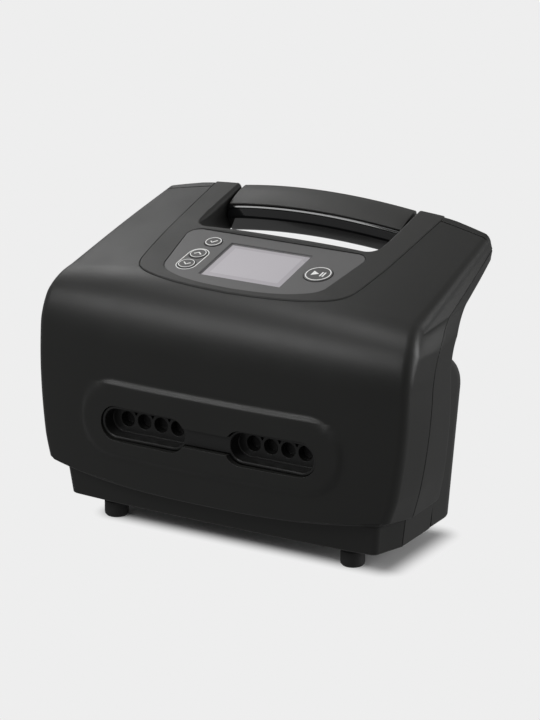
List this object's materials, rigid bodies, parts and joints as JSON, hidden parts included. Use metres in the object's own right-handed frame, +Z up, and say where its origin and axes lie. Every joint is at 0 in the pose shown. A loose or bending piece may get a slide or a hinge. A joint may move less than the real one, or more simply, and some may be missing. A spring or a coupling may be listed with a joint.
{
  "type": "compression therapy system",
  "caption": "Portable compression therapy pump with a carrying handle, a tilted control panel with push buttons and a display, and air hose sockets at the front.",
  "frame": {"origin": "on the rest plane under the feet, below the middle of the outline", "axes": "+X to the right seen from the front, +Y from the front to the rear, +Z up"},
  "size_m": [0.2748, 0.1638, 0.2061],
  "materials": {
    "housing": "fine moulded texture",
    "overlay": "satin printed film",
    "display": "smooth display window",
    "buttons": "satin",
    "grip": "polished",
    "ports": "semi-gloss",
    "rubber": "matt",
    "steel": "plain",
    "copper": "enamelled wire",
    "inner_black": "plain",
    "boards": "solder mask",
    "battery": "heat-shrink film",
    "hoses": "translucent silicone",
    "manifold": "plain",
    "screws": "zinc plated"
  },
  "bodies": {
    "housing": {"base_plate": "housing", "base_screw_front_left": "screws", "base_screw_front_right": "screws", "base_screw_rear_left": "screws", "base_screw_rear_right": "screws", "battery_pack": "battery", "control_overlay": "overlay", "cover_screw_lower_left": "screws", "cover_screw_lower_right": "screws", "cover_screw_upper_left": "screws", "cover_screw_upper_right": "screws", "display_board": "boards", "display_module": "display", "foot_front_left": "rubber", "foot_front_right": "rubber", "foot_rear_left": "rubber", "foot_rear_right": "rubber", "front_shell": "housing", "handle_cap": "housing", "handle_grip": "grip", "handle_screw_left": "screws", "handle_screw_right": "screws", "main_board": "boards", "mains_inlet": "ports", "port_block": "ports", "pressure_sensor": "inner_black", "pump_coil_lower": "copper", "pump_coil_upper": "copper", "pump_frame": "steel", "pump_head_left": "inner_black", "pump_head_right": "inner_black", "pump_hose_left": "hoses", "pump_hose_right": "hoses", "pump_mount_front_left": "rubber", "pump_mount_front_right": "rubber", "pump_mount_rear_left": "rubber", "pump_mount_rear_right": "rubber", "rear_cover": "housing", "rear_shell": "housing", "socket_hose_left": "hoses", "socket_hose_right": "hoses", "top_console": "housing", "valve_left": "steel", "valve_manifold": "manifold", "valve_right": "steel"},
    "select_button": {"select_button": "buttons"},
    "up_button": {"up_button": "buttons"},
    "down_button": {"down_button": "buttons"},
    "start_button": {"start_button": "buttons"},
    "pump_armature": {"pump_armature": "steel"}
  },
  "joints": [
    {"name": "select_button_press", "type": "slide", "parent": "housing", "child": "select_button", "axis": [0, -0.2351, 0.972], "range_m": [-0.0006, 0], "stiffness_N_per_m": 2000, "springref_m": 0.0005},
    {"name": "up_button_press", "type": "slide", "parent": "housing", "child": "up_button", "axis": [0, -0.2351, 0.972], "range_m": [-0.0006, 0], "stiffness_N_per_m": 2000, "springref_m": 0.0005},
    {"name": "down_button_press", "type": "slide", "parent": "housing", "child": "down_button", "axis": [0, -0.2351, 0.972], "range_m": [-0.0006, 0], "stiffness_N_per_m": 2000, "springref_m": 0.0005},
    {"name": "start_button_press", "type": "slide", "parent": "housing", "child": "start_button", "axis": [0, -0.2351, 0.972], "range_m": [-0.0006, 0], "stiffness_N_per_m": 2000, "springref_m": 0.0005},
    {"name": "pump_armature_stroke", "type": "slide", "parent": "housing", "child": "pump_armature", "axis": [1, 0, 0], "range_m": [-0.0012, 0.0012], "stiffness_N_per_m": 4000}
  ]
}
